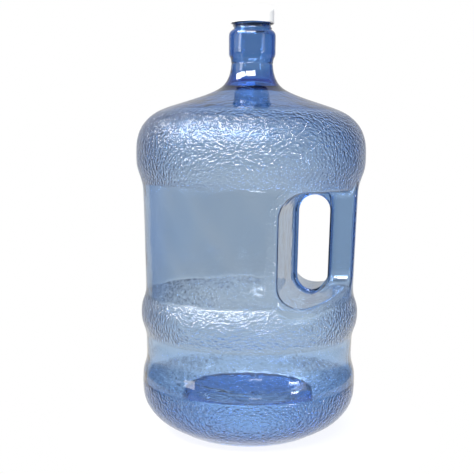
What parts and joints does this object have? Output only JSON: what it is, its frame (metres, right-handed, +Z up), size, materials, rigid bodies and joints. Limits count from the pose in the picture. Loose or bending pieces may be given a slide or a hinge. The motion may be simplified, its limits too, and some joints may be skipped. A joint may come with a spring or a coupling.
{
  "type": "large water jug",
  "caption": "Large refillable water jug: clear blue blow-moulded bottle with a through-grip handle, push-up base and threaded neck, closed by a white foam-lined screw cap.",
  "frame": {"origin": "centre of the foot ring, on the bottle's axis, at the level it stands on", "axes": "+Z up along the bottle's axis to the cap; +X towards the handle; the mould parting plane is Y = 0"},
  "size_m": [0.2734, 0.2734, 0.4956],
  "materials": {
    "clear_blue_polycarbonate": "clear blue-tinted blow-moulded polycarbonate, glossy; pebbled on the two body bands and the heel, smooth on the label panel, cone, neck and handle",
    "white_cap_plastic": "satin white moulded plastic, smooth side wall",
    "liner_foam": "matt closed-cell foam disc"
  },
  "bodies": {
    "jug_body": {"bottle": "clear_blue_polycarbonate"},
    "liner": {"cap_liner": "liner_foam"},
    "cap": {"screw_cap": "white_cap_plastic"}
  },
  "joints": [
    {"name": "cap_lift", "type": "slide", "parent": "jug_body", "child": "liner", "axis": [0, 0, 1], "range_m": [0, 0.0148]},
    {"name": "cap_turn", "type": "hinge", "parent": "liner", "child": "cap", "pos_m": [0, 0, 0.488], "axis": [0, 0, 1], "range_deg": [0, 1260]}
  ],
  "couplings": [
    {"joint": "cap_lift", "follows": "cap_turn", "m_per_rad": 0.00066845}
  ]
}
